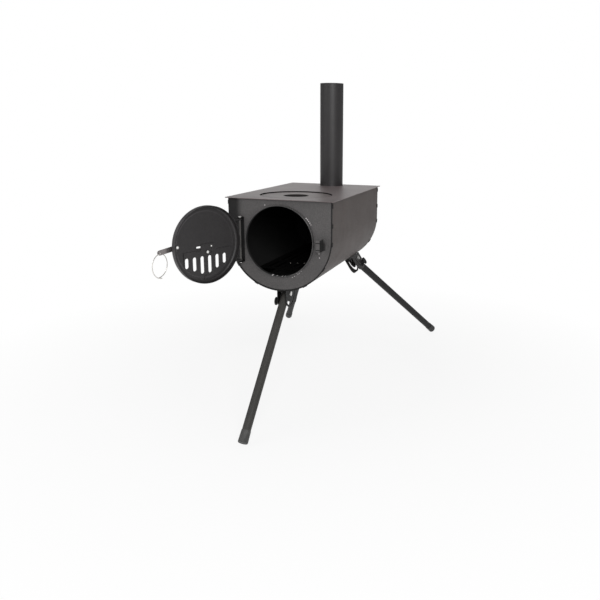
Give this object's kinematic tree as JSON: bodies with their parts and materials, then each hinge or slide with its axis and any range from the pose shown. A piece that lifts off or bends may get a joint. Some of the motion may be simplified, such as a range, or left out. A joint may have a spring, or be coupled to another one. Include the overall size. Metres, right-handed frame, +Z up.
{
  "type": "tent wood stove",
  "caption": "Portable wood stove with a half-round firebox on three folding legs, a dished door with an air damper, a hob lid and a lift-off flue pipe.",
  "frame": {"origin": "on the floor, below the middle of the stove's overall box", "axes": "+Y from the door to the rear, +X to the right seen from the front, +Z up along the flue"},
  "size_m": [0.5462, 0.9618, 0.799],
  "materials": {
    "stove_paint": "satin black heat paint",
    "top_paint": "matt black heat paint, slightly greyed",
    "flue_paint": "satin black heat paint",
    "door_paint": "satin black heat paint",
    "leg_paint": "satin black powder coat",
    "soot_steel": "matt, sooty",
    "bare_steel": "bright zinc-plated",
    "bar_steel": "dull grey-brown steel",
    "ring_wire": "pale drawn wire",
    "foot_rubber": "matt black"
  },
  "bodies": {
    "stove": {"body_wrap": "stove_paint", "front_plate": "stove_paint", "rear_plate": "stove_paint", "front_seam_tabs": "stove_paint", "rear_seam_tabs": "stove_paint", "top_plate": "top_paint", "hob_seat": "top_paint", "flue_spigot": "soot_steel", "mouth_lip": "stove_paint", "hinge_bracket": "stove_paint", "hinge_rod": "bare_steel", "catch": "stove_paint", "front_leg_bracket": "stove_paint", "rear_left_leg_bracket": "stove_paint", "rear_right_leg_bracket": "stove_paint", "leg_pivot_rivets": "bare_steel", "log_grate": "soot_steel"},
    "door": {"door_pan": "door_paint", "door_hinge_ears": "door_paint", "latch_rivet": "bare_steel", "guide_rivet": "bare_steel", "damper_clip": "door_paint"},
    "damper": {"damper_plate": "door_paint", "damper_knob": "bare_steel"},
    "latch": {"latch_bar": "bar_steel"},
    "ring": {"latch_ring": "ring_wire"},
    "lid": {"hob_lid": "top_paint"},
    "flue": {"flue_pipe": "flue_paint"},
    "front_leg_body": {"front_leg": "leg_paint", "front_foot_cap": "foot_rubber"},
    "rear_left_leg_body": {"rear_left_leg": "leg_paint", "rear_left_foot_cap": "foot_rubber"},
    "rear_right_leg_body": {"rear_right_leg": "leg_paint", "rear_right_foot_cap": "foot_rubber"},
    "front_screw": {"front_thumb_screw": "leg_paint"},
    "rear_left_screw": {"rear_left_thumb_screw": "leg_paint"},
    "rear_right_screw": {"rear_right_thumb_screw": "leg_paint"}
  },
  "joints": [
    {"name": "door_swing", "type": "hinge", "parent": "stove", "child": "door", "pos_m": [-0.096, -0.2574, 0.416], "axis": [0, 0, 1], "range_deg": [-45, 116.5]},
    {"name": "damper_slide", "type": "slide", "parent": "door", "child": "damper", "axis": [-0.4462, -0.8949, 0], "range_m": [0, 0.0103]},
    {"name": "latch_turn", "type": "hinge", "parent": "door", "child": "latch", "pos_m": [-0.17995, -0.4055, 0.4173], "axis": [-0.8949, 0.4462, 0], "range_deg": [0, 45]},
    {"name": "ring_swing", "type": "hinge", "parent": "latch", "child": "ring", "pos_m": [-0.19873, -0.44315, 0.40989], "axis": [-0.9799, 0.1994, 0], "range_deg": [-35, 60]},
    {"name": "lid_lift", "type": "slide", "parent": "stove", "child": "lid", "axis": [0, 0, 1], "range_m": [0, 0.06]},
    {"name": "flue_lift", "type": "slide", "parent": "stove", "child": "flue", "axis": [0, 0, 1], "range_m": [0, 0.08]},
    {"name": "front_leg_fold", "type": "hinge", "parent": "stove", "child": "front_leg_body", "pos_m": [0, -0.2104, 0.2805], "axis": [1, 0, 0], "range_deg": [0, 133.9]},
    {"name": "rear_left_leg_fold", "type": "hinge", "parent": "stove", "child": "rear_left_leg_body", "pos_m": [-0.07695, 0.1416, 0.30278], "axis": [-0.8453, 0, 0.5344], "range_deg": [0, 133.6]},
    {"name": "rear_right_leg_fold", "type": "hinge", "parent": "stove", "child": "rear_right_leg_body", "pos_m": [0.07695, 0.1416, 0.30278], "axis": [-0.8453, 0, -0.5344], "range_deg": [0, 133.6]},
    {"name": "front_screw_turn_out", "type": "slide", "parent": "front_leg_body", "child": "front_screw", "axis": [-1, 0, 0], "range_m": [0, 0.004]},
    {"name": "rear_left_screw_turn_out", "type": "slide", "parent": "rear_left_leg_body", "child": "rear_left_screw", "axis": [0.8453, 0, -0.5344], "range_m": [0, 0.004]},
    {"name": "rear_right_screw_turn_out", "type": "slide", "parent": "rear_right_leg_body", "child": "rear_right_screw", "axis": [0.8453, 0, 0.5344], "range_m": [0, 0.004]}
  ]
}
